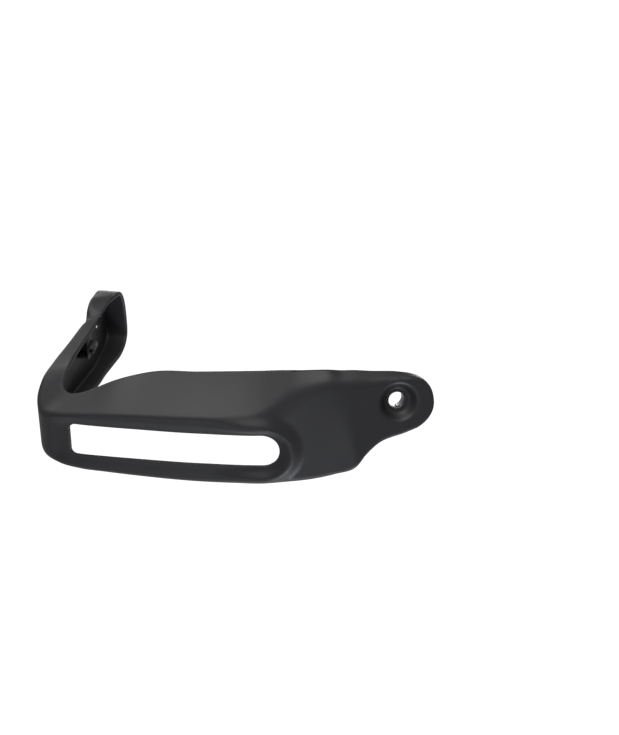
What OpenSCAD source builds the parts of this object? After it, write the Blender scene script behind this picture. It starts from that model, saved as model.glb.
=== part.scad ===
/* [Front] */
// Reach of the lug hole inboard of the bar end, mm
lug_reach = 217.4; // [195:0.1:240]
// Forward reach of the slotted wall from the bar axis, mm
front_reach = 103; // [90:0.5:120]
// Height from the bar axis down to the lower edge, mm
drop = 55.5; // [48:0.5:62]
// Wall thickness, mm
wall = 2.8; // [2:0.1:3.4]

/* [Slot] */
// Length of the slot, mm
slot_length = 138; // [110:0.2:144]
// Height of the slot, mm
slot_height = 23.8; // [18:0.2:28]
// Outboard end of the slot, inboard of the bar end, mm
slot_start = 6.2; // [4:0.2:16]
// Slot centre below the bar axis at its outboard end, mm
slot_drop = 27.3; // [25:0.2:30]
// Fall of the slot toward its inboard end, degrees
slot_fall = 1.2; // [0:0.1:2]
// Height of the raised ring around the slot, mm
ring_height = 5; // [2:0.5:7]
// Depth of the dish around the slot, mm
dish_depth = 2; // [1:0.2:5]

/* [Inboard lug] */
// Radius of the rounded lug, mm
lug_radius = 22; // [19:0.5:25]
// Turn of the lug toward the rider, degrees
lug_turn = 29.6; // [15:0.1:40]
// Backward lean of the lug, degrees
lug_lean = 14.4; // [5:0.1:20]
// Length of the collar seat, mm
seat_length = 10; // [9:0.1:14]

/* [Mount collar] */
// Bore of the collar, mm
collar_bore = 10.8; // [8:0.1:11.5]
// Wall of the rolled collar, mm
collar_wall = 1.5; // [1:0.1:2]
// Gap of the rolled seam, mm
seam_gap = 0.8; // [0.4:0.1:1.2]
// Clearance of the collar in its seat, mm
seat_clearance = 0.05; // [0.02:0.01:0.15]

/* [Bar end] */
// Bore for the bar end bolt, mm
bar_bore = 10; // [6.5:0.1:11]
// Diameter of the bolt head seat outside, mm
head_seat = 19; // [17:0.5:22]
// Depth of the bolt head seat, mm
seat_depth = 0.8; // [0.4:0.1:1]
// Half height of the rounded bar end cap, mm
cap_radius = 23.5; // [21:0.5:26]

/* [Arm inside] */
// Height of the pocket in the block across the arm, mm
pocket_height = 10.8; // [8:0.2:11]
// Depth of the pocket, mm
pocket_depth = 7; // [4:0.5:7.5]
// Outer diameter of the screw boss, mm
screw_boss = 5.2; // [4.6:0.2:5.8]
// Pilot hole of the screw boss, mm
screw_pilot = 2.2; // [1.5:0.1:2.6]

/* [Hidden] */
shell_colour = [0.17, 0.17, 0.18];
collar_colour = [0.62, 0.63, 0.65];

// Scale of the drawn rails against the driving sizes
kx = lug_reach / 217.4;
ky = front_reach / 103;
kz = drop / 55.5;
function rail(x, y, z) = [x > 0 ? x * kx : x, y < 0 ? y * ky : y, z < 0 ? z * kz : z];

// Lug plane: a runs toward the tip, b runs up, c runs back from the front face
lug_at = rail(217.4, -58.3, -6);
lug_a = [cos(lug_turn), sin(lug_turn), 0];
lug_n = [sin(lug_turn) * cos(lug_lean), -cos(lug_turn) * cos(lug_lean), sin(lug_lean)];
lug_b = cross(lug_n, lug_a);
function on_lug(a, b, c = 0) = lug_at + a * lug_a + b * lug_b - c * lug_n;

// Rounded lug end: angle 90 is the top of the arc, 0 is the tip
tip_a = 1.1;
tip_b = -2.25;
tip_round = 3;
function tip_row(angle) =
  let (
    r = lug_radius,
    near = r * (1 - cos(angle)),
    back = near > tip_round ? 0 : tip_round - sqrt(tip_round * tip_round - pow(tip_round - near, 2)),
    a = tip_a + 1.03 * r * cos(angle),
    up = 0.92 * r * pow(sin(angle), 0.85),
    low = 0.868 * r * sin(angle),
    lean = max(0, angle - 40) / 16,
    top = max(0, angle - 60) / 21
  )
  [lug_at[0] + a,
   on_lug(a, tip_b + up - lean, back),
   on_lug(a, tip_b + up + top, 6.5),
   on_lug(a, tip_b - low, back),
   on_lug(a, tip_b - low, 6.5)];

// Rounded bar end cap, seen along the bar: angle 90 is above the bore, 0 is the rear
cap_rear = 19.8;
cap_mid = -3.5;
cap_power = 2 / 2.9;
web_x = -2.6;
mouth_x = 13.8;
function cap_row(angle) =
  let (
    y = cap_rear * pow(cos(angle), cap_power),
    h = cap_radius * pow(sin(angle), cap_power),
    back = 2.4 * pow(1 - angle / 60, 2)
  )
  [-134 - y,
   [web_x + back, y, cap_mid * (1 - sin(angle)) * 2 + h - 3],
   [mouth_x, y, cap_mid * (1 - sin(angle)) * 2 + h - 3.2],
   [web_x + back, y, cap_mid * (1 - sin(angle)) * 2 - h - 2],
   [mouth_x, y, cap_mid * (1 - sin(angle)) * 2 - h - 1]];

// Stations from lug tip to bar end: developed place, crease, top edge, lower corner, lower edge
STATIONS = [
  tip_row(5), tip_row(20), tip_row(40), tip_row(62), tip_row(84),
  [203, on_lug(-16.4, 16.8), on_lug(-16.4, 23.6, 6.5), on_lug(-16.9, -25.3), on_lug(-16.9, -25.7, 6.5)],
  [196, on_lug(-25.4, 18.4), on_lug(-25.4, 25.7, 7), on_lug(-25.4, -30.9), on_lug(-25.4, -31.7, 7)],
  [188, on_lug(-33.4, 19.6), on_lug(-33.4, 27, 7.5), on_lug(-33.4, -38.1), on_lug(-33.4, -39.1, 7.5)],
  [176, rail(175, -76, 14.2), rail(174, -67, 20.8), rail(178, -85, -48.7), rail(178, -77, -50.7)],
  [161, rail(160, -83, 9.5), rail(157, -71, 21.2), rail(162, -87.5, -52.6), rail(162, -79, -54.5)],
  [147, rail(147, -89.5, 2), rail(143, -71.3, 20.1), rail(147, -90.5, -54), rail(147, -82, -56)],
  [133, rail(134, -94.5, -3.6), rail(130.7, -71.5, 18.7), rail(132, -93, -55.2), rail(132, -84, -57.2)],
  [112, rail(112, -98.5, -4.6), rail(110, -72.2, 17), rail(112, -96.5, -54.3), rail(112, -88, -56.4)],
  [90, rail(90, -101, -4.6), rail(89.3, -73, 15.4), rail(91, -99, -53.7), rail(91, -90, -55.8)],
  [50, rail(50, -103, -4.9), rail(54, -75.2, 13), rail(49, -101, -51.8), rail(49, -92, -53.8)],
  [30, rail(30, -103.7, -5.6), rail(34, -82, 9.4), rail(29, -101.5, -50.6), rail(29, -92, -52.6)],
  [12, rail(12, -103.6, -6.6), rail(15, -87.5, 2.4), rail(11.4, -101.5, -49.9), rail(10, -90, -51.5)],
  [-1, rail(-2, -102.6, -8), rail(5, -88.2, 0.8), rail(-3, -99.5, -48.2), rail(-1, -88.5, -48.6)],
  [-14, rail(-13.4, -97, -9.5), rail(-0.7, -84.5, 2.8), rail(-14.4, -94, -45.2), rail(-6.4, -83, -45)],
  [-24, rail(-17.6, -88.5, -3.6), rail(-0.9, -79, 7.6), rail(-17.9, -83, -39.8), rail(-7.6, -75, -38.9)],
  [-33, rail(-16, -80, 5.2), rail(0.4, -73, 11), rail(-15.8, -73, -35), rail(-4.5, -66, -33)],
  [-46, rail(-11.9, -67, 10.1), rail(1.8, -63, 12.8), rail(-12.2, -60, -31), rail(1, -54, -27.8)],
  [-70, rail(-7, -44.4, 12.5), rail(4, -43.6, 14), rail(-7.4, -42, -28.2), rail(8.6, -38, -25.2)],
  [-90, rail(-4, -25, 13.4), rail(5.8, -26, 14.4), rail(-3.6, -25, -27.2), rail(10.6, -22, -24.6)],
  [-98, rail(web_x, -18.5, 13.8), rail(6.8, -18, 15), rail(web_x, -17, -27.2), rail(11.8, -14, -24.6)],
  [-105, rail(web_x, -13.5, 19.6), rail(8.2, -11, 16.6), rail(web_x, -11, -27.2), rail(12.6, -8, -24.6)],
  [-113, rail(web_x, -7.5, 21.6), rail(10, -3.5, 18.8), rail(web_x, -5, -27), rail(13.4, -2, -24.8)],
  [-123, rail(web_x, 1, 20.4), rail(12.4, 3.6, 19.8), rail(web_x, 2, -27), rail(13.6, 3.5, -25)],
  cap_row(55), cap_row(36), cap_row(18), cap_row(4)
];
fillet_top = [for (s = STATIONS) s[0] > 200 ? 4 : s[0] > 140 ? 10 : s[0] > 128 ? 5 : s[0] > -8 ? 3 : 3.4];
fillet_low = [for (s = STATIONS) s[0] > 170 ? 3.8 : s[0] > -40 ? 6.5 : 5];

// Smooth curve through the stations
last = len(STATIONS) - 1;
function chord(k) = (norm(STATIONS[k + 1][1] - STATIONS[k][1]) + norm(STATIONS[k + 1][3] - STATIONS[k][3])) / 2;
spans = [for (k = [0:last - 1]) chord(k)];
function slope_at(f, k) =
  k == 0 ? (f[1] - f[0]) / spans[0]
  : k == last ? (f[last] - f[last - 1]) / spans[last - 1]
  : ((f[k + 1] - f[k]) / spans[k] * spans[k - 1] + (f[k] - f[k - 1]) / spans[k - 1] * spans[k]) / (spans[k] + spans[k - 1]);
function blend(f, k, w) =
  let (h = spans[k], w2 = w * w, w3 = w2 * w)
  f[k] * (2 * w3 - 3 * w2 + 1) + slope_at(f, k) * h * (w3 - 2 * w2 + w)
  + f[k + 1] * (3 * w2 - 2 * w3) + slope_at(f, k + 1) * h * (w3 - w2);
columns = [for (c = [0:4]) [for (s = STATIONS) s[c]]];

// Samples along the guard, closer where it turns
function steps_in(k) = max(2, ceil(spans[k] / (STATIONS[k][0] > 130 && STATIONS[k][0] < 165 ? 3 : STATIONS[k][0] > 13 && STATIONS[k][0] < 120 ? 9.5 : STATIONS[k][0] > -46 && STATIONS[k][0] < 14 ? 5 : 6.5)));
SAMPLES = [for (k = [0:last - 1]) for (i = [0:steps_in(k) - 1]) [k, i / steps_in(k)], [last - 1, 1]];
RINGS = [for (q = SAMPLES) concat([for (c = [0:4]) blend(columns[c], q[0], q[1])],
  [blend(fillet_top, q[0], q[1]), blend(fillet_low, q[0], q[1])])];

// Slot outline as a distance field over the developed wall
slot_end = slot_start + slot_length;
slot_r = slot_height / 2;
slot_corner = 4;
function slot_mid(p) = -slot_drop * kz - (p - slot_start) * tan(slot_fall);
function box_gap(p, h, r) =
  let (c = (slot_start + slot_end) / 2, qx = abs(p - c) - slot_length / 2 + r, qz = abs(h) - slot_r + r)
  norm([max(qx, 0), max(qz, 0)]) + min(max(qx, qz), 0) - r;
function slot_gap(p, z) =
  let (h = z - slot_mid(p))
  p > (slot_start + slot_end) / 2 ? box_gap(p, h, slot_r) : box_gap(p, h, slot_corner);
function ease(w) = let (q = min(1, max(0, w))) q * q * (3 - 2 * q);
function relief(p, z) =
  let (g = slot_gap(p, z), out = ease((8 - p) / 14), inb = ease((p - 92) / 44), w = 8.5 + 5 * out)
  ring_height * inb * ease((16 - g) / 10)
  - (dish_depth + 2.4 * out + 0.75 * ring_height * inb) * ease((w - g) / w);

// One cross section: top flange, crease, wall, lower corner, lower flange
wall_rows = [0.09, 0.18, 0.28, 0.4, 0.58, 0.71, 0.81, 0.91];
nv = 20;
function quad(a, c, b, w) = a * (1 - w) * (1 - w) + c * 2 * w * (1 - w) + b * w * w;
function section(c, t, b, f, r_top, r_low) =
  let (
    lt = norm(t - c), lw = norm(b - c), lf = norm(f - b),
    rt = min(r_top, 0.45 * lt, 0.42 * lw),
    rb = min(r_low, 0.45 * lf, 0.42 * lw),
    ct = c + (t - c) * rt / lt, cw = c + (b - c) * rt / lw,
    bw = b + (c - b) * rb / lw, bf = b + (f - b) * rb / lf
  )
  concat(
    [for (w = [0, 0.33, 0.67]) t + (ct - t) * w],
    [for (w = [0, 0.33, 0.67, 1]) quad(ct, c, cw, w)],
    [for (w = wall_rows) cw + (bw - cw) * w],
    [for (w = [0, 0.33, 0.67, 1]) quad(bw, b, bf, w)],
    [bf + (f - bf) * 0.5, f]);
lift_rows = concat([0, 0, 0, 0, 0.2, 0.6], [for (w = wall_rows) 1], [1, 1, 0.6, 0.2, 0, 0, 0]);

// Inner rails: each corner moved in by the wall on both of its faces
function unit(v) = v / max(norm(v), 1e-9);
nu = len(RINGS) - 1;
function along(i, c) = RINGS[min(i + 1, nu)][c] - RINGS[max(i - 1, 0)][c];
function corner_in(point, n1, n2) = point - wall / (1 + n1 * n2) * (n1 + n2);
SIDES = [for (i = [0:nu])
  let (r = RINGS[i], run = along(i, 1), low = along(i, 3))
  [unit(cross(along(i, 2) + run, r[1] - r[2])), unit(cross(run + low, r[3] - r[1])), unit(cross(low + along(i, 4), r[4] - r[3]))]];
OUTER = [for (r = RINGS) section(r[1], r[2], r[3], r[4], r[5], r[6])];
INNER = [for (i = [0:nu])
  let (r = RINGS[i], n = SIDES[i])
  section(corner_in(r[1], n[0], n[1]), r[2] - wall * n[0], corner_in(r[3], n[1], n[2]), r[4] - wall * n[2],
          max(1, r[5] - wall), max(1, r[6] - wall))];
function lift(i, j) = lift_rows[j] * relief(RINGS[i][0], OUTER[i][j][2]) * SIDES[i][1];
function outer(i, j) = OUTER[i][j] + lift(i, j);
function inner(i, j) = INNER[i][j] + lift(i, j);

module skin() {
  n = nv + 1;
  m = (nu + 1) * n;
  polyhedron(
    points = [
      for (i = [0:nu]) for (j = [0:nv]) outer(i, j),
      for (i = [0:nu]) for (j = [0:nv]) inner(i, j)],
    faces = [
      for (i = [0:nu - 1]) for (j = [0:nv - 1])
        each [[i * n + j, i * n + j + 1, (i + 1) * n + j + 1], [i * n + j, (i + 1) * n + j + 1, (i + 1) * n + j]],
      for (i = [0:nu - 1]) for (j = [0:nv - 1])
        each [[m + i * n + j, m + (i + 1) * n + j + 1, m + i * n + j + 1],
              [m + i * n + j, m + (i + 1) * n + j, m + (i + 1) * n + j + 1]],
      for (i = [0:nu - 1]) each [[i * n, (i + 1) * n, m + (i + 1) * n], [i * n, m + (i + 1) * n, m + i * n]],
      for (i = [0:nu - 1])
        each [[i * n + nv, m + (i + 1) * n + nv, (i + 1) * n + nv], [i * n + nv, m + i * n + nv, m + (i + 1) * n + nv]],
      each zip_end(0, n, false), each zip_end(nu * n, n, true),
      each zip_end(m, n, true), each zip_end(m + nu * n, n, false),
      [0, m, m + nv], [0, m + nv, nv],
      [nu * n, m + nu * n + nv, m + nu * n], [nu * n, nu * n + nv, m + nu * n + nv]]);
}
function turned(f, flip) = flip ? [f[0], f[2], f[1]] : f;
function zip_end(o, n, flip) = [
  for (j = [0:4])
    each [turned([o + j, o + n - 1 - j, o + n - 2 - j], flip), turned([o + j, o + n - 2 - j, o + j + 1], flip)],
  for (j = [6:n - 7]) turned([o + 5, o + j + 1, o + j], flip)];

// Bodies placed on the lug, z running back from its front face
module at_lug() {
  multmatrix([
    [lug_a[0], lug_b[0], -lug_n[0], lug_at[0]],
    [lug_a[1], lug_b[1], -lug_n[1], lug_at[1]],
    [lug_a[2], lug_b[2], -lug_n[2], lug_at[2]]]) children();
}
lug_dish = 6;
lip = 1;
boss_r = 10.6;
collar_r = collar_bore / 2 + collar_wall;
seat_r = collar_r + seat_clearance;
lug_depth = lug_dish + lip + seat_length;
lip_r = collar_bore / 2;
dish_line = [[14.2, -0.4], [13.6, 0], [13, 0.3], [12.2, 1], [11.2, 2.2], [10.2, 3.6], [9.2, 4.8], [8.2, 5.6], [7.2, 5.95], [6.4, 6]];
boss_line = [[15.8, wall - 1], [15, 3.8], [13.8, 5.6], [12.6, 7], [11.4, 8.2], [boss_r, 9.4], [boss_r, lug_depth]];

module slot_cutter() {
  mid = slot_mid(slot_start);
  translate([slot_start, -ky * 108, mid]) rotate([0, slot_fall, 0]) {
    translate([slot_length - slot_r, 0, 0]) rotate([-90, 0, 0]) cylinder(r = slot_r, h = 32, $fn = 96);
    translate([slot_corner, 0, -slot_r]) cube([slot_length - slot_r - slot_corner, 32, slot_height]);
    translate([0, 0, slot_corner - slot_r]) cube([slot_corner + 1, 32, slot_height - 2 * slot_corner]);
    for (side = [-1, 1])
      translate([slot_corner, 0, side * (slot_r - slot_corner)]) rotate([-90, 0, 0]) cylinder(r = slot_corner, h = 32, $fn = 48);
  }
}

// Block across the arm in front of the cap, with a pocket and a screw boss facing forward
block_y = -40 * ky;
block_low = -3.6 * kz;
boss_at = [6.2, block_y - 1, 3.6];
module arm_fixings() {
  translate([-3.9, block_y, block_low]) cube([8.5, 9, 11 - block_low]);
  translate(boss_at) rotate([-90, 0, 0]) cylinder(r = screw_boss / 2, h = 10, $fn = 48);
}
module arm_cuts() {
  translate([-3.4, block_y - 1, 8.6 - pocket_height]) cube([6.7, 1 + pocket_depth, pocket_height]);
  translate(boss_at - [0, 1, 0]) rotate([-90, 0, 0]) cylinder(r = screw_pilot / 2, h = 8, $fn = 32);
}

module guard_shell() {
  color(shell_colour) difference() {
    union() {
      skin();
      at_lug() rotate_extrude($fn = 96) polygon(concat([[0, wall - 1]], boss_line, [[0, lug_depth]]));
      arm_fixings();
    }
    slot_cutter();
    at_lug() rotate_extrude($fn = 96) polygon(concat([[0, -0.4]], dish_line, [[0, lug_dish]]));
    at_lug() cylinder(r = lip_r, h = 40, $fn = 96);
    at_lug() translate([0, 0, lug_dish + lip]) cylinder(r = seat_r, h = 40, $fn = 96);
    translate([-20, 0, 0]) rotate([0, 90, 0]) cylinder(r = bar_bore / 2, h = 24, $fn = 96);
    translate([web_x - 5, 0, 0]) rotate([0, 90, 0]) cylinder(r = head_seat / 2, h = 5 + seat_depth, $fn = 96);
    arm_cuts();
  }
}

module mount_collar() {
  color(collar_colour) at_lug() translate([0, 0, lug_dish + lip]) difference() {
    cylinder(r = collar_r, h = seat_length, $fn = 96);
    translate([0, 0, -1]) cylinder(r = collar_bore / 2, h = seat_length + 2, $fn = 96);
    translate([-seam_gap / 2, -collar_r - 1, -1]) cube([seam_gap, collar_wall + 2, seat_length + 2]);
  }
}

guard_shell();
mount_collar();
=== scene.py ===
import math

import bmesh
import bpy
import numpy as np
from mathutils import Matrix, Vector


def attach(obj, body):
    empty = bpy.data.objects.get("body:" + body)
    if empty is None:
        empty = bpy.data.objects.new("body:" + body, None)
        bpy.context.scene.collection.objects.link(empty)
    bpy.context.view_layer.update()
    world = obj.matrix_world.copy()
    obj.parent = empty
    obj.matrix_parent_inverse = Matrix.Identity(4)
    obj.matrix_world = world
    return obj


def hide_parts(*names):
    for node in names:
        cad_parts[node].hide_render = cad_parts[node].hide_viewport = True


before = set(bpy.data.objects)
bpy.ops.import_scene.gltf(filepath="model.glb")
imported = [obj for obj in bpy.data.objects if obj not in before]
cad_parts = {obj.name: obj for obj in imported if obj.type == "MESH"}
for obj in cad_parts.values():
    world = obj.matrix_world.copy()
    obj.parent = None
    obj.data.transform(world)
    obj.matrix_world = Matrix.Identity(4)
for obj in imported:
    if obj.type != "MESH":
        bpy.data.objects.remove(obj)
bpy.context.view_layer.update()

# Sizes, in mm
LUG_AT = np.array([217.4, -58.3, -6.0])
LUG_TURN = math.radians(29.6)
LUG_LEAN = math.radians(14.4)
LUG_RADIUS = 22.0
TIP_A, TIP_B, TIP_ROUND = 1.1, -2.25, 3.0
FLANGE_DEPTH = 6.5
WEB_X, MOUTH_X = -2.6, 13.8
CAP_REAR, CAP_RADIUS, CAP_MID, CAP_POWER = 19.8, 23.5, -3.5, 2 / 2.9
WALL = 2.8
RIM_PULL, RIM_TURNS = 0.9, np.radians([30, 60, 90, 120, 150])
SLOT_START, SLOT_LENGTH, SLOT_HEIGHT = 6.2, 138.0, 23.8
SLOT_DROP, SLOT_FALL, SLOT_CORNER = 27.3, math.radians(1.2), 4.0
RING_HEIGHT, RING_WIDTH, RING_SLOPE = 5.0, 16.0, 10.0
DISH_DEPTH, DISH_WIDTH = 2.0, 8.5
EDGE_OUT, EDGE_IN = 0.7, 0.6
SHELL_STEP = 1.2
SEAT_R, COLLAR_R, COLLAR_BORE, COLLAR_LENGTH = 6.95, 6.9, 5.4, 10.0
SEAM_GAP, COLLAR_EDGE, COLLAR_CHAMFER = 0.8, 0.25, 0.3
LUG_DISH, LIP, LUG_RING, LUG_BACK = 6.0, 1.0, 14.8, 17.0
BAR_R, HEAD_R, HEAD_DEPTH, BAR_RING = 5.0, 9.5, 0.8, 10.3
BLOCK_FRONT, BLOCK_BACK = -40.0, -31.0
BLOCK, POCKET, POCKET_DEPTH = (-3.9, 4.6, -3.6, 11.0), (-3.4, 3.3, -2.2, 8.6), 7.0
BOSS_AT, BOSS_R, PILOT_R, PILOT_DEPTH = (6.2, 3.6), 2.6, 1.1, 7.0

# Places along the guard, in mm of its developed length
CORNER_PLACE, CORNER_FADE = 8, 14
RING_PLACE, RING_FADE = 92, 44
FRONT_FROM, FRONT_TO = -8, 170
LUG_FROM, CAP_FROM = 188, -100
RELIEF_END = 175

# Distance under which vertices are merged, in m
MERGE = 0.00004

# Lug plane: a toward the tip, b up, c back from the front face
LUG_A = np.array([math.cos(LUG_TURN), math.sin(LUG_TURN), 0.0])
LUG_N = np.array([
    math.sin(LUG_TURN) * math.cos(LUG_LEAN),
    -math.cos(LUG_TURN) * math.cos(LUG_LEAN),
    math.sin(LUG_LEAN),
])
LUG_B = np.cross(LUG_N, LUG_A)


def on_lug(a, b, c=0.0):
    return tuple(LUG_AT + a * LUG_A + b * LUG_B - c * LUG_N)


def tip_row(angle):
    """One station of the rounded lug end; 90 degrees is its top, 0 its tip."""
    w = math.radians(angle)
    near = LUG_RADIUS * (1 - math.cos(w))
    back = 0.0 if near > TIP_ROUND else TIP_ROUND - math.sqrt(TIP_ROUND**2 - (TIP_ROUND - near) ** 2)
    a = TIP_A + 1.03 * LUG_RADIUS * math.cos(w)
    high = 0.92 * LUG_RADIUS * math.sin(w) ** 0.85
    low = 0.868 * LUG_RADIUS * math.sin(w)
    lean, top = max(0, angle - 40) / 16, max(0, angle - 60) / 21
    return (
        LUG_AT[0] + a,
        on_lug(a, TIP_B + high - lean, back),
        on_lug(a, TIP_B + high + top, FLANGE_DEPTH),
        on_lug(a, TIP_B - low, back),
        on_lug(a, TIP_B - low, FLANGE_DEPTH),
    )


def cap_row(angle):
    """One station of the bar end cap; 90 degrees is above the bore, 0 the rear."""
    w = math.radians(angle)
    y = CAP_REAR * math.cos(w) ** CAP_POWER
    h = CAP_RADIUS * math.sin(w) ** CAP_POWER
    mid = CAP_MID * (1 - math.sin(w)) * 2
    x = WEB_X + 2.4 * (1 - angle / 60) ** 2
    return (
        -134 - y,
        (x, y, mid + h - 3),
        (MOUTH_X, y, mid + h - 3.2),
        (x, y, mid - h - 2),
        (MOUTH_X, y, mid - h - 1),
    )


# Stations: developed place, crease, top edge, lower corner, lower edge
STATIONS = [
    tip_row(2), tip_row(10), tip_row(22), tip_row(40), tip_row(62), tip_row(84),
    (203, on_lug(-16.4, 16.8), on_lug(-16.4, 23.6, 6.5), on_lug(-16.9, -25.3), on_lug(-16.9, -25.7, 6.5)),
    (196, on_lug(-25.4, 18.4), on_lug(-25.4, 25.7, 7), on_lug(-25.4, -30.9), on_lug(-25.4, -31.7, 7)),
    (188, on_lug(-33.4, 19.6), on_lug(-33.4, 27, 7.5), on_lug(-33.4, -38.1), on_lug(-33.4, -39.1, 7.5)),
    (176, (175, -76, 14.2), (174, -67, 20.8), (178, -85, -48.7), (178, -77, -50.7)),
    (161, (160, -83, 9.5), (157, -71, 21.2), (162, -87.5, -52.6), (162, -79, -54.5)),
    (147, (147, -89.5, 2), (143, -71.3, 20.1), (147, -90.5, -54), (147, -82, -56)),
    (133, (134, -94.5, -3.6), (130.7, -71.5, 18.7), (132, -93, -55.2), (132, -84, -57.2)),
    (112, (112, -98.5, -4.6), (110, -72.2, 17), (112, -96.5, -54.3), (112, -88, -56.4)),
    (90, (90, -101, -4.6), (89.3, -73, 15.4), (91, -99, -53.7), (91, -90, -55.8)),
    (50, (50, -103, -4.9), (54, -75.2, 13), (49, -101, -51.8), (49, -92, -53.8)),
    (30, (30, -103.7, -5.6), (34, -82, 9.4), (29, -101.5, -50.6), (29, -92, -52.6)),
    (12, (12, -103.6, -6.6), (15, -87.5, 2.4), (11.4, -101.5, -49.9), (10, -90, -51.5)),
    (-1, (-2, -102.6, -8), (5, -88.2, 0.8), (-3, -99.5, -48.2), (-1, -88.5, -48.6)),
    (-14, (-13.4, -97, -9.5), (-0.7, -84.5, 2.8), (-14.4, -94, -45.2), (-6.4, -83, -45)),
    (-24, (-17.6, -88.5, -3.6), (-0.9, -79, 7.6), (-17.9, -83, -39.8), (-7.6, -75, -38.9)),
    (-33, (-16, -80, 5.2), (0.4, -73, 11), (-15.8, -73, -35), (-4.5, -66, -33)),
    (-46, (-11.9, -67, 10.1), (1.8, -63, 12.8), (-12.2, -60, -31), (1, -54, -27.8)),
    (-70, (-7, -44.4, 12.5), (4, -43.6, 14), (-7.4, -42, -28.2), (8.6, -38, -25.2)),
    (-90, (-4, -25, 13.4), (5.8, -26, 14.4), (-3.6, -25, -27.2), (10.6, -22, -24.6)),
    (-98, (WEB_X, -18.5, 13.8), (6.8, -18, 15), (WEB_X, -17, -27.2), (11.8, -14, -24.6)),
    (-105, (WEB_X, -13.5, 19.6), (8.2, -11, 16.6), (WEB_X, -11, -27.2), (12.6, -8, -24.6)),
    (-113, (WEB_X, -7.5, 21.6), (10, -3.5, 18.8), (WEB_X, -5, -27), (13.4, -2, -24.8)),
    (-123, (WEB_X, 1, 20.4), (12.4, 3.6, 19.8), (WEB_X, 2, -27), (13.6, 3.5, -25)),
    cap_row(55), cap_row(36), cap_row(18), cap_row(8), cap_row(2),
]
PLACE = np.array([s[0] for s in STATIONS], float)
FILLET_TOP = np.select([PLACE > 200, PLACE > 140, PLACE > 128, PLACE > -8], [4.0, 10.0, 5.0, 3.0], 3.4)
FILLET_LOW = np.select([PLACE > 170, PLACE > -40], [3.8, 6.5], 5.0)


def smooth_rails(step):
    """Samples every rail along the guard at about the given step, in mm."""
    rails = np.array([[s[c] for c in range(1, 5)] for s in STATIONS], float)
    data = np.concatenate(
        [PLACE[:, None], rails.reshape(len(STATIONS), 12), FILLET_TOP[:, None], FILLET_LOW[:, None]], 1
    )
    crease, low = (np.linalg.norm(np.diff(rails[:, c], axis=0), axis=1) for c in (0, 2))
    spans = (crease + low) / 2
    rise = np.diff(data, axis=0) / spans[:, None]
    slope = np.empty_like(data)
    slope[0], slope[-1] = rise[0], rise[-1]
    h0, h1 = spans[:-1, None], spans[1:, None]
    slope[1:-1] = (rise[1:] * h0 + rise[:-1] * h1) / (h0 + h1)
    out = []
    for k, span in enumerate(spans):
        n = max(2, int(math.ceil(span / step)))
        for w in np.arange(n) / n:
            out.append(hermite(data, slope, span, k, w))
    out.append(data[-1])
    return np.array(out)


def hermite(data, slope, span, k, w):
    w2, w3 = w * w, w * w * w
    return (
        data[k] * (2 * w3 - 3 * w2 + 1)
        + slope[k] * span * (w3 - 2 * w2 + w)
        + data[k + 1] * (3 * w2 - 2 * w3)
        + slope[k + 1] * span * (w3 - w2)
    )


def unit(v):
    return v / np.maximum(np.linalg.norm(v, axis=-1, keepdims=True), 1e-9)


# Rows across a section: top flange, crease, wall, lower corner, lower flange
N_TOP, N_ROUND, N_WALL, N_LOW = 14, 7, 56, 6


def arc(a, c, b, w):
    w = w[None, :, None]
    return a[:, None] * (1 - w) ** 2 + c[:, None] * 2 * w * (1 - w) + b[:, None] * w**2


def line(p, q, w):
    return p[:, None] + (q - p)[:, None] * w[None, :, None]


def sections(c, t, b, f, r_top, r_low):
    """All section rows for arrays of rails, shape (stations, rows, 3)."""
    lt = np.linalg.norm(t - c, axis=1)
    lw = np.linalg.norm(b - c, axis=1)
    lf = np.linalg.norm(f - b, axis=1)
    rt = np.minimum.reduce([r_top, 0.45 * lt, 0.42 * lw])
    rb = np.minimum.reduce([r_low, 0.45 * lf, 0.42 * lw])
    ct = c + (t - c) * (rt / lt)[:, None]
    cw = c + (b - c) * (rt / lw)[:, None]
    bw = b + (c - b) * (rb / lw)[:, None]
    bf = b + (f - b) * (rb / lf)[:, None]
    return np.concatenate(
        [
            line(t, ct, np.arange(N_TOP) / N_TOP),
            arc(ct, c, cw, np.arange(N_ROUND) / N_ROUND),
            line(cw, bw, np.arange(N_WALL + 1) / N_WALL),
            arc(bw, b, bf, np.arange(1, N_ROUND + 1) / N_ROUND),
            line(bf, f, np.arange(1, N_LOW + 1) / N_LOW),
        ],
        1,
    )


def ease(w):
    q = np.clip(w, 0, 1)
    return q * q * (3 - 2 * q)


def slot_gap(x, z):
    """Distance from the slot outline, seen from the front, and its direction."""
    h = z + SLOT_DROP
    u = (x - SLOT_START) * math.cos(SLOT_FALL) - h * math.sin(SLOT_FALL) - SLOT_LENGTH / 2
    v = (x - SLOT_START) * math.sin(SLOT_FALL) + h * math.cos(SLOT_FALL)
    r = np.where(u > 0, SLOT_HEIGHT / 2, SLOT_CORNER)
    qx = np.abs(u) - SLOT_LENGTH / 2 + r
    qz = np.abs(v) - SLOT_HEIGHT / 2 + r
    ox, oz = np.maximum(qx, 0), np.maximum(qz, 0)
    away = np.sqrt(ox**2 + oz**2)
    gap = away + np.minimum(np.maximum(qx, qz), 0) - r
    flat = away < 1e-6
    du = np.where(flat, (qx > qz) * 1.0, ox / np.maximum(away, 1e-6)) * np.sign(u)
    dv = np.where(flat, (qx <= qz) * 1.0, oz / np.maximum(away, 1e-6)) * np.sign(v)
    gx = du * math.cos(SLOT_FALL) + dv * math.sin(SLOT_FALL)
    gz = -du * math.sin(SLOT_FALL) + dv * math.cos(SLOT_FALL)
    return gap, gx, gz


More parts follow.
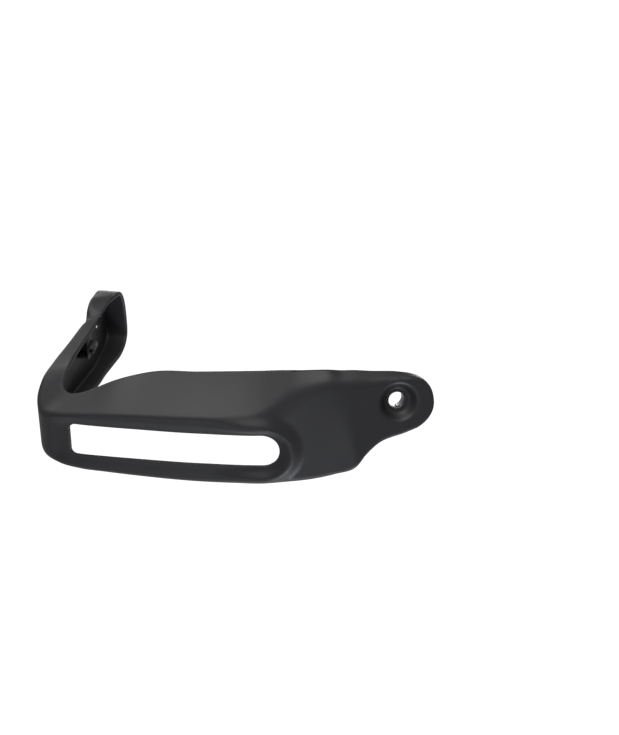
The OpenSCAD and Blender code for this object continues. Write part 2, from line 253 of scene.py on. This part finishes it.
def relief(place, z):
    """Height of the ring less the dish around the slot, which is wider and deeper outboard."""
    gap = slot_gap(place, z)[0]
    outboard = ease((CORNER_PLACE - place) / CORNER_FADE)
    inboard = ease((place - RING_PLACE) / RING_FADE)
    width = DISH_WIDTH + 5 * outboard
    depth = DISH_DEPTH + 2.4 * outboard + 0.75 * RING_HEIGHT * inboard
    ring = RING_HEIGHT * inboard * ease((RING_WIDTH - gap) / RING_SLOPE)
    return ring - depth * ease((width - gap) / (width * (1 - 0.25 * outboard)))


class Shell:
    """The moulded shell as vertices and quads, open cells bridged by edge profiles."""

    def __init__(self):
        self.points = []
        self.count = 0
        self.faces = []

    def add(self, array):
        flat = np.asarray(array, float).reshape(-1, 3)
        start = self.count
        self.points.append(flat)
        self.count += len(flat)
        return np.arange(start, self.count).reshape(np.asarray(array).shape[:-1])

    def quads(self, a, b, c, d):
        self.faces.extend(zip(*(corner.ravel().tolist() for corner in (a, b, c, d))))

    def bridge(self, loops, pairs):
        """Quads between successive loops for each boundary edge (pair of loop places)."""
        for one, two in zip(loops[:-1], loops[1:]):
            for s, e in pairs:
                self.faces.append((int(one[s]), int(one[e]), int(two[e]), int(two[s])))


def boundary(keep, region):
    """Vertices and directed edges round a removed region of a grid of cells."""
    gone = ~keep & region
    ni, nj = keep.shape
    edges = []
    for i, j in np.argwhere(gone):
        for di, dj, s, e in ((-1, 0, (i, j), (i, j + 1)), (1, 0, (i + 1, j + 1), (i + 1, j)),
                             (0, -1, (i + 1, j), (i, j)), (0, 1, (i, j + 1), (i + 1, j + 1))):
            a, b = i + di, j + dj
            if 0 <= a < ni and 0 <= b < nj and keep[a, b]:
                edges.append((s, e))
    verts = sorted({v for pair in edges for v in pair})
    place = {v: k for k, v in enumerate(verts)}
    return tuple(np.array(verts).T), [(place[s], place[e]) for s, e in edges]


def along(q):
    return np.gradient(q, axis=0)


def inset(q, m, n):
    """Points moved in by the wall on both of the faces that meet there."""
    return q - WALL / (1 + (m * n).sum(1, keepdims=True)) * (m + n)


def cells(m):
    """Cells of the grid with a marked vertex."""
    return m[:-1, :-1] | m[1:, :-1] | m[:-1, 1:] | m[1:, 1:]


def build_shell(step):
    r = smooth_rails(step)
    p = r[:, 0]
    c, t, b, f = (r[:, 1 + 3 * k : 4 + 3 * k] for k in range(4))
    n_top = unit(np.cross(along(t) + along(c), c - t))
    n_web = unit(np.cross(along(c) + along(b), b - c))
    n_low = unit(np.cross(along(b) + along(f), f - b))
    outer = sections(c, t, b, f, r[:, 13], r[:, 14])
    inner = sections(
        inset(c, n_top, n_web), t - WALL * n_top, inset(b, n_web, n_low), f - WALL * n_low,
        np.maximum(1, r[:, 13] - WALL), np.maximum(1, r[:, 14] - WALL),
    )
    nv = outer.shape[1]
    lift = np.zeros(nv)
    first, last = N_TOP, N_TOP + N_ROUND + N_WALL + N_ROUND
    lift[first : first + N_ROUND] = ease(np.arange(N_ROUND) / N_ROUND)
    lift[first + N_ROUND : last - N_ROUND + 1] = 1
    lift[last - N_ROUND + 1 : last + 1] = 1 - ease(np.arange(1, N_ROUND + 1) / N_ROUND)

    # Removed regions: slot, lug hole, bar end hole
    gap = slot_gap(outer[..., 0], outer[..., 2])[0]
    station = np.broadcast_to(p[:, None], gap.shape)
    front = (outer[..., 1] < -80) & (station > FRONT_FROM) & (station < FRONT_TO)
    d = outer - LUG_AT
    from_lug = np.hypot(d @ LUG_A, d @ LUG_B)
    from_bar = np.hypot(outer[..., 1], outer[..., 2])
    on_web = (station < CAP_FROM) & (np.abs(outer[..., 0] - WEB_X) < 0.4)
    slot_cells = cells(front & (gap < EDGE_OUT))
    lug_cells = cells((station > LUG_FROM) & (from_lug < LUG_RING))
    bar_cells = cells(on_web & (from_bar < BAR_RING))
    keep = ~(slot_cells | lug_cells | bar_cells)
    slot_edge, slot_pairs = boundary(keep, slot_cells)
    lug_edge, lug_pairs = boundary(keep, lug_cells)
    bar_edge, bar_pairs = boundary(keep, bar_cells)
    base_out, base_in = outer.copy(), inner.copy()
    lug_hole = (lug_edge, LUG_AT, LUG_A, LUG_B, LUG_N)
    x_axis, y_axis, z_axis = np.eye(3)
    bar_hole = (bar_edge, np.array([WEB_X, 0, 0]), y_axis, z_axis, -x_axis)
    m_slot = n_web[slot_edge[0]]

    def snap_slot(q, to):
        """The slot's edge vertices moved to a distance from its outline, in the wall's plane."""
        pos = q[slot_edge].copy()
        g, gx, gz = slot_gap(pos[:, 0], pos[:, 2])
        dx, dz = gx * (to - g), gz * (to - g)
        dy = -(m_slot[:, 0] * dx + m_slot[:, 2] * dz) / m_slot[:, 1]
        return pos + np.stack([dx, dy, dz], 1)

    def on_ring(hole, radius, depth):
        """A hole's edge vertices moved to a circle at a depth behind its face."""
        edge, centre, across, upward, axis = hole
        pos = base_out[edge] - centre
        u, v = pos @ across, pos @ upward
        k = radius / np.hypot(u, v)
        return centre + (u * k)[:, None] * across + (v * k)[:, None] * upward - depth * axis

    outer[slot_edge] = snap_slot(base_out, EDGE_OUT)
    inner[slot_edge] = snap_slot(base_in, EDGE_OUT)
    for hole, radius in ((lug_hole, LUG_RING), (bar_hole, BAR_RING)):
        outer[hole[0]] = on_ring(hole, radius, 0)
        inner[hole[0]] = on_ring(hole, radius, WALL)

    moved = outer[..., 0] - base_out[..., 0]
    place = np.where(front, np.maximum(station, FRONT_FROM) + moved, station)
    height = relief(place, outer[..., 2]) * lift[None]
    height = np.where(station > RELIEF_END, 0, height)
    push = height[..., None] * n_web[:, None]
    top, under = outer + push, inner + push

    # Rounded rim: both edges of the shell pulled back and joined by a half round
    mesh = Shell()
    for q in (top, under):
        q[:, 0] += unit(q[:, 2] - q[:, 0]) * RIM_PULL
        q[:, -1] += unit(q[:, -3] - q[:, -1]) * RIM_PULL
    a, z = mesh.add(top), mesh.add(under)
    k = np.argwhere(keep)
    i, j = k[:, 0], k[:, 1]
    mesh.quads(a[i, j], a[i, j + 1], a[i + 1, j + 1], a[i + 1, j])
    mesh.quads(z[i, j], z[i + 1, j], z[i + 1, j + 1], z[i, j + 1])

    def rim(col, away):
        mid = (top[:, col] + under[:, col]) / 2
        half = (top[:, col] - under[:, col]) / 2
        return [mesh.add(mid + half * math.cos(w) + away * RIM_PULL * math.sin(w)) for w in RIM_TURNS]

    upper = [a[:, 0]] + rim(0, unit(top[:, 0] - top[:, 2])) + [z[:, 0]]
    lower = [a[:, -1]] + rim(-1, unit(top[:, -1] - top[:, -3])) + [z[:, -1]]
    for one, two in zip(upper[:-1], upper[1:]):
        mesh.quads(one[:-1], one[1:], two[1:], two[:-1])
    for one, two in zip(lower[:-1], lower[1:]):
        mesh.quads(one[:-1], two[:-1], two[1:], one[1:])
    for end, flip in ((0, False), (-1, True)):
        for q, turn in ((a[end], flip), (z[end], not flip)):
            for j in range(nv // 2):
                quad = (q[j], q[nv - 1 - j], q[nv - 2 - j], q[j + 1])
                if len(set(int(v) for v in quad)) == 4:
                    mesh.faces.append(tuple(int(v) for v in (quad[::-1] if turn else quad)))
        for one in range(6):
            quad = (upper[one][end], upper[one + 1][end], lower[one + 1][end], lower[one][end])
            mesh.faces.append(tuple(int(v) for v in (quad[::-1] if flip else quad)))

    # Slot edge: rounded outside and inside
    def slot_loops(q, radius, side):
        loops = []
        for w in np.radians([22, 45, 68, 90]):
            pos = snap_slot(q, EDGE_OUT * (1 - math.sin(w)))
            rise = relief(np.maximum(pos[:, 0], FRONT_FROM), pos[:, 2])[:, None] * m_slot
            loops.append(mesh.add(pos + rise - side * radius * (1 - math.cos(w)) * m_slot))
        return loops

    outside = slot_loops(base_out, EDGE_OUT, 1)
    inside = slot_loops(base_in, EDGE_IN, -1)
    mesh.bridge([a[slot_edge]] + outside + inside[::-1] + [z[slot_edge]], slot_pairs)

    # Lug hole: dish in front, lip, seat bore, boss behind. Bar end hole: head seat, bore, inner edge
    seat_from = LUG_DISH + LIP
    lug_profile = [
        (14.3, 0.01), (13.8, 0.08), (13.3, 0.25), (12.8, 0.52), (12.2, 1.0), (11.7, 1.6), (11.2, 2.25),
        (10.7, 2.95), (10.2, 3.6), (9.7, 4.25), (9.2, 4.8), (8.7, 5.25), (8.2, 5.58), (7.7, 5.8), (7.2, 5.93),
        (6.4, LUG_DISH), (5.8, LUG_DISH), (5.52, 6.1), (COLLAR_BORE, 6.35), (COLLAR_BORE, seat_from),
        (SEAT_R, seat_from), (SEAT_R, 16.6), (7.2, 16.95), (7.5, LUG_BACK), (10.0, LUG_BACK), (10.4, 16.85),
        (10.6, 16.4), (10.6, 9.4), (11.4, 8.2), (12.6, 7.0), (13.8, 5.6), (14.6, 4.2), (14.75, 3.2),
    ]
    bar_profile = [
        (9.8, 0.0), (9.55, 0.1), (HEAD_R, 0.3), (HEAD_R, 0.7), (9.4, HEAD_DEPTH), (5.3, HEAD_DEPTH),
        (5.06, 0.9), (BAR_R, 1.1), (BAR_R, 2.5), (5.08, 2.72), (5.3, WALL), (9.9, WALL),
    ]
    for hole, pairs, profile in ((lug_hole, lug_pairs, lug_profile), (bar_hole, bar_pairs, bar_profile)):
        rings = [mesh.add(on_ring(hole, radius, depth)) for radius, depth in profile]
        mesh.bridge([a[hole[0]]] + rings + [z[hole[0]]], pairs)
    return mesh


def make_object(name, points, faces, smooth_angle=35):
    data = bpy.data.meshes.new(name)
    data.from_pydata((np.asarray(points) * 0.001).tolist(), [], faces)
    bm = bmesh.new()
    bm.from_mesh(data)
    bmesh.ops.remove_doubles(bm, verts=bm.verts, dist=MERGE)
    bmesh.ops.dissolve_degenerate(bm, dist=MERGE / 2, edges=bm.edges)
    bm.to_mesh(data)
    bm.free()
    data.validate()
    obj = bpy.data.objects.new(name, data)
    bpy.context.collection.objects.link(obj)
    data.polygons.foreach_set("use_smooth", [True] * len(data.polygons))
    bpy.context.view_layer.objects.active = obj
    obj.select_set(True)
    bpy.ops.object.shade_auto_smooth(angle=math.radians(smooth_angle))
    obj.select_set(False)
    return obj


def box_loop(sides, pull, corner, y):
    """A box outline with rounded corners in the X-Z plane, 6 points a corner."""
    x0, x1, z0, z1 = sides
    loop = []
    for quarter in range(4):
        for k in range(6):
            w = math.radians(90 * quarter + 18 * k)
            cx = x1 - pull - corner if quarter in (0, 3) else x0 + pull + corner
            cz = z1 - pull - corner if quarter in (0, 1) else z0 + pull + corner
            loop.append((cx + corner * math.cos(w), y, cz + corner * math.sin(w)))
    return loop


def ring_loop(radius, y, at, n=40):
    turn = [2 * math.pi * k / n for k in range(n)]
    return [(at[0] + radius * math.cos(w), y, at[1] + radius * math.sin(w)) for w in turn]


def add_body(mesh, loops):
    """Joins closed loops one after another and closes both ends with fans."""
    rings = [mesh.add(np.array(loop)) for loop in loops]
    n = len(loops[0])
    pairs = [(k, (k + 1) % n) for k in range(n)]
    mesh.bridge(rings, [(e, s) for s, e in pairs])
    for ring, loop, last in ((rings[0], loops[0], False), (rings[-1], loops[-1], True)):
        centre = int(mesh.add(np.array([np.mean(loop, axis=0)]))[0])
        for s, e in pairs:
            mesh.faces.append((int(ring[e if last else s]), int(ring[s if last else e]), centre))


shell = build_shell(SHELL_STEP)
floor_y = BLOCK_FRONT + POCKET_DEPTH
block = [
    (BLOCK, 0.4, 0.6, BLOCK_BACK),
    (BLOCK, 0.1, 0.6, BLOCK_BACK - 0.1),
    (BLOCK, 0, 0.6, BLOCK_BACK - 0.4),
    (BLOCK, 0, 0.6, BLOCK_FRONT + 0.4),
    (BLOCK, 0.1, 0.6, BLOCK_FRONT + 0.1),
    (BLOCK, 0.4, 0.6, BLOCK_FRONT),
    (POCKET, -0.3, 0.6, BLOCK_FRONT),
    (POCKET, -0.08, 0.5, BLOCK_FRONT + 0.08),
    (POCKET, 0, 0.5, BLOCK_FRONT + 0.3),
    (POCKET, 0, 0.5, floor_y - 0.3),
    (POCKET, 0.3, 0.5, floor_y),
]
add_body(shell, [box_loop(*row) for row in block])
tip = BLOCK_FRONT - 1
boss = [
    (BOSS_R - 0.3, BLOCK_BACK), (BOSS_R, BLOCK_BACK - 0.3), (BOSS_R, tip + 0.3),
    (BOSS_R - 0.1, tip + 0.08), (BOSS_R - 0.3, tip), (PILOT_R + 0.2, tip),
    (PILOT_R + 0.04, tip + 0.06), (PILOT_R, tip + 0.25), (PILOT_R, tip + PILOT_DEPTH),
]
add_body(shell, [ring_loop(radius, y, BOSS_AT) for radius, y in boss])
points = np.concatenate(shell.points)
used = sorted({v for face in shell.faces for v in face})
new_place = {v: k for k, v in enumerate(used)}
shell_faces = [tuple(new_place[v] for v in face) for face in shell.faces]
guard = make_object("guard_visual", points[used], shell_faces)


def build_collar(n=120):
    """The rolled collar: a tube with a straight seam on its lower side and broken edges."""
    front = LUG_DISH + LIP
    back = front + COLLAR_LENGTH
    profile = [
        (COLLAR_BORE + COLLAR_EDGE, front), (COLLAR_R - COLLAR_CHAMFER, front),
        (COLLAR_R, front + COLLAR_CHAMFER), (COLLAR_R, back - COLLAR_CHAMFER),
        (COLLAR_R - COLLAR_CHAMFER, back), (COLLAR_BORE + COLLAR_EDGE, back),
        (COLLAR_BORE, back - COLLAR_EDGE), (COLLAR_BORE, front + COLLAR_EDGE),
    ]
    tube, rings = Shell(), []
    for k in range(n + 1):
        w = k / n
        ring = []
        for radius, depth in profile:
            half = math.asin(SEAM_GAP / 2 / radius)
            turn = -math.pi / 2 + half + w * 2 * (math.pi - half)
            ring.append(on_lug(radius * math.cos(turn), radius * math.sin(turn), depth))
        rings.append(tube.add(np.array(ring)))
    m = len(profile)
    tube.bridge(rings, [(k, (k + 1) % m) for k in range(m)])
    tube.faces.append(tuple(int(v) for v in rings[0]))
    tube.faces.append(tuple(int(v) for v in rings[-1][::-1]))
    return make_object("collar_visual", np.concatenate(tube.points), tube.faces)


collar = build_collar()


# Materials
def surface(name, colour, roughness, metallic, grain_size, grain_depth, specular=0.5):
    """A plain surface with fine procedural grain in its roughness and relief."""
    m = bpy.data.materials.new(name)
    m.use_nodes = True
    tree = m.node_tree
    bsdf = tree.nodes["Principled BSDF"]
    bsdf.inputs["Base Color"].default_value = (*colour, 1)
    bsdf.inputs["Metallic"].default_value = metallic
    bsdf.inputs["Specular IOR Level"].default_value = specular
    coords = tree.nodes.new("ShaderNodeTexCoord")
    grain = tree.nodes.new("ShaderNodeTexNoise")
    grain.inputs["Scale"].default_value = grain_size
    grain.inputs["Detail"].default_value = 3
    spread = tree.nodes.new("ShaderNodeMapRange")
    spread.inputs["To Min"].default_value = roughness - 0.04
    spread.inputs["To Max"].default_value = roughness + 0.04
    bump = tree.nodes.new("ShaderNodeBump")
    bump.inputs["Strength"].default_value = 0.2
    bump.inputs["Distance"].default_value = grain_depth
    tree.links.new(coords.outputs["Object"], grain.inputs["Vector"])
    tree.links.new(grain.outputs["Fac"], spread.inputs["Value"])
    tree.links.new(spread.outputs["Result"], bsdf.inputs["Roughness"])
    tree.links.new(grain.outputs["Fac"], bump.inputs["Height"])
    tree.links.new(bump.outputs["Normal"], bsdf.inputs["Normal"])
    return m


plastic = surface("satin_black_plastic", (0.021, 0.021, 0.0225), 0.46, 0, 1400, 0.0001, 0.3)
steel = surface("rolled_steel", (0.13, 0.13, 0.137), 0.4, 1, 900, 0.00005)
guard.data.materials.append(plastic)
collar.data.materials.append(steel)
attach(guard, "root")
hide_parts("guard_shell")
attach(collar, "root")
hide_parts("mount_collar")

# Camera: square on, from the photo's direction, with the part at its place in the picture
PHOTO_W, PHOTO_H = 619, 735
PX_PER_MM, U0, V0 = 1.5456, 98.0, 322.6
AZ, EL, ROLL = math.radians(17.5), math.radians(31.0), math.radians(-4.7)
right = Vector((math.cos(AZ), math.sin(AZ), 0))
up = Vector((-math.sin(AZ) * math.sin(EL), math.cos(AZ) * math.sin(EL), math.cos(EL)))
across = math.cos(ROLL) * right + math.sin(ROLL) * up
upward = -math.sin(ROLL) * right + math.cos(ROLL) * up
toward = across.cross(upward)
camera_data = bpy.data.cameras.new("camera")
camera_data.type = "ORTHO"
camera_data.ortho_scale = PHOTO_H / PX_PER_MM / 1000
camera_data.clip_end = 20
camera = bpy.data.objects.new("camera", camera_data)
bpy.context.collection.objects.link(camera)
bpy.context.scene.camera = camera
camera.rotation_mode = "QUATERNION"
camera.rotation_quaternion = Matrix((across, upward, toward)).transposed().to_quaternion()
centre_u = (PHOTO_W / 2 - U0) / PX_PER_MM / 1000
centre_v = (V0 - PHOTO_H / 2) / PX_PER_MM / 1000
camera.location = across * centre_u + upward * centre_v + toward * 2

# Light: a pale room seen by camera and reflections, dim in its own light, with soft lamps
SHINE_SHARE = 0.4  # how much of the white the reflections see


def seen_directly(tree):
    """1 for camera and transmission rays, less for glossy ones, 0 for the rays that light the object."""
    path = tree.nodes.new("ShaderNodeLightPath")
    total = path.outputs["Is Camera Ray"]
    for name, share in (("Is Transmission Ray", 1), ("Is Glossy Ray", SHINE_SHARE)):
        part = tree.nodes.new("ShaderNodeMath")
        part.operation = "MULTIPLY"
        part.inputs[1].default_value = share
        tree.links.new(path.outputs[name], part.inputs[0])
        joined = tree.nodes.new("ShaderNodeMath")
        joined.operation = "MAXIMUM"
        tree.links.new(total, joined.inputs[0])
        tree.links.new(part.outputs["Value"], joined.inputs[1])
        total = joined.outputs["Value"]
    return total


world = bpy.data.worlds.new("studio")
bpy.context.scene.world = world
world.use_nodes = True
tree = world.node_tree
room = tree.nodes["Background"]
room.inputs["Color"].default_value = (0.93, 0.95, 1, 1)
room.inputs["Strength"].default_value = 0.1
backdrop = tree.nodes.new("ShaderNodeBackground")
backdrop.inputs["Color"].default_value = (1, 1, 1, 1)
mix = tree.nodes.new("ShaderNodeMixShader")
tree.links.new(seen_directly(tree), mix.inputs["Fac"])
tree.links.new(room.outputs["Background"], mix.inputs[1])
tree.links.new(backdrop.outputs["Background"], mix.inputs[2])
tree.links.new(mix.outputs["Shader"], tree.nodes["World Output"].inputs["Surface"])

# Floor: pale, at the height of the ground below a handlebar
FLOOR_Z, FLOOR_HALF, FLOOR_GLOW = -1.0, 8.0, 0.93
corners = [(FLOOR_HALF * x, FLOOR_HALF * y, FLOOR_Z) for x, y in ((-1, -1), (1, -1), (1, 1), (-1, 1))]
floor_data = bpy.data.meshes.new("floor")
floor_data.from_pydata(corners, [], [(0, 1, 2, 3)])
floor = bpy.data.objects.new("floor", floor_data)
bpy.context.collection.objects.link(floor)
pale = bpy.data.materials.new("pale_floor")
pale.use_nodes = True
tree = pale.node_tree
tree.nodes.remove(tree.nodes["Principled BSDF"])
paint = tree.nodes.new("ShaderNodeBsdfDiffuse")
paint.inputs["Color"].default_value = (0.8, 0.8, 0.8, 1)
glow = tree.nodes.new("ShaderNodeEmission")
total = tree.nodes.new("ShaderNodeAddShader")
level = tree.nodes.new("ShaderNodeMath")
level.operation = "MULTIPLY"
level.inputs[1].default_value = FLOOR_GLOW
tree.links.new(seen_directly(tree), level.inputs[0])
tree.links.new(level.outputs["Value"], glow.inputs["Strength"])
tree.links.new(paint.outputs["BSDF"], total.inputs[0])
tree.links.new(glow.outputs["Emission"], total.inputs[1])
tree.links.new(total.outputs["Shader"], tree.nodes["Material Output"].inputs["Surface"])
floor_data.materials.append(pale)
bpy.context.scene.view_settings.view_transform = "Standard"


def lamp(name, location, target, size, power, colour=(1, 1, 1)):
    data = bpy.data.lights.new(name, "AREA")
    data.size = size
    data.energy = power
    data.color = colour
    obj = bpy.data.objects.new(name, data)
    bpy.context.collection.objects.link(obj)
    obj.location = location
    obj.rotation_mode = "QUATERNION"
    obj.rotation_quaternion = (Vector(target) - Vector(location)).to_track_quat("-Z", "Y")


lamp("top_lamp", (0.12, -0.3, 1.0), (0.15, -0.07, 0), 0.8, 9.8)
lamp("back_lamp", (-0.6, 0.35, 0.6), (0, -0.05, 0), 0.5, 3)
lamp("front_lamp", (0.1, -0.95, -0.15), (0.12, -0.08, -0.02), 0.5, 1.3, (0.86, 0.88, 1))
lamp("rear_lamp", (-0.1, 1.1, -0.15), (0.1, 0, 0), 0.6, 5)
lamp("low_lamp", (0.45, -0.45, -0.8), (0.18, -0.08, -0.02), 0.4, 5, (0.9, 0.92, 1))
